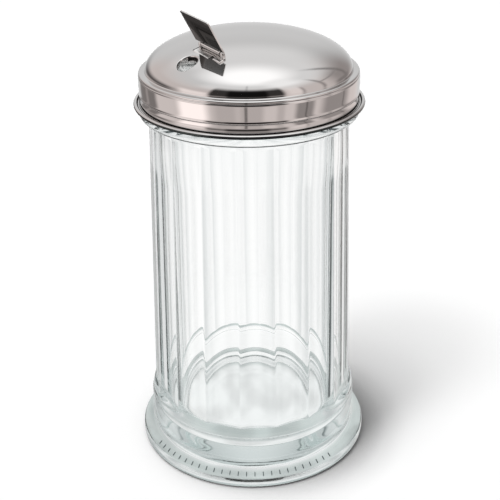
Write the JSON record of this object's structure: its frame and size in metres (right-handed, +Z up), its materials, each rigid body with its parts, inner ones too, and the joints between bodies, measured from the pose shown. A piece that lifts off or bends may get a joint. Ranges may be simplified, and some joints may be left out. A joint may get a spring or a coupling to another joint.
{
  "type": "sugar dispenser",
  "caption": "Free-standing fluted glass sugar jar with a screw-on domed steel lid and a hinged pour flap over an off-centre pour hole.",
  "frame": {"origin": "centre of the jar foot's underside, on the surface it stands on", "axes": "+Z up along the jar's axis; the pour hole and flap lie towards -X and -Y, at about 134 degrees clockwise from +X seen from above"},
  "size_m": [0.08, 0.08, 0.1554],
  "materials": {
    "clear_glass": "clear pressed glass, fire polished",
    "seal_compound": "matt",
    "polished_steel": "polished stainless",
    "pin_steel": "drawn wire",
    "flap_steel": "polished stainless"
  },
  "bodies": {
    "jar": {"glass_jar": "clear_glass"},
    "seal": {"rim_liner": "seal_compound"},
    "lid": {"screw_lid": "polished_steel", "hinge_pin": "pin_steel"},
    "flap": {"pour_flap": "flap_steel"}
  },
  "joints": [
    {"name": "lid_lift", "type": "slide", "parent": "jar", "child": "seal", "axis": [0, 0, 1], "range_m": [0, 0.0126]},
    {"name": "lid_turn", "type": "hinge", "parent": "seal", "child": "lid", "pos_m": [0, 0, 0.1324], "axis": [0, 0, 1], "range_deg": [0, 1080]},
    {"name": "flap_hinge", "type": "hinge", "parent": "lid", "child": "flap", "pos_m": [-0.01096, -0.01619, 0.14395], "axis": [-0.5968, 0.7978, 0.0857], "range_deg": [-82, 25]}
  ],
  "couplings": [
    {"joint": "lid_lift", "follows": "lid_turn", "m_per_rad": 0.00066845}
  ]
}
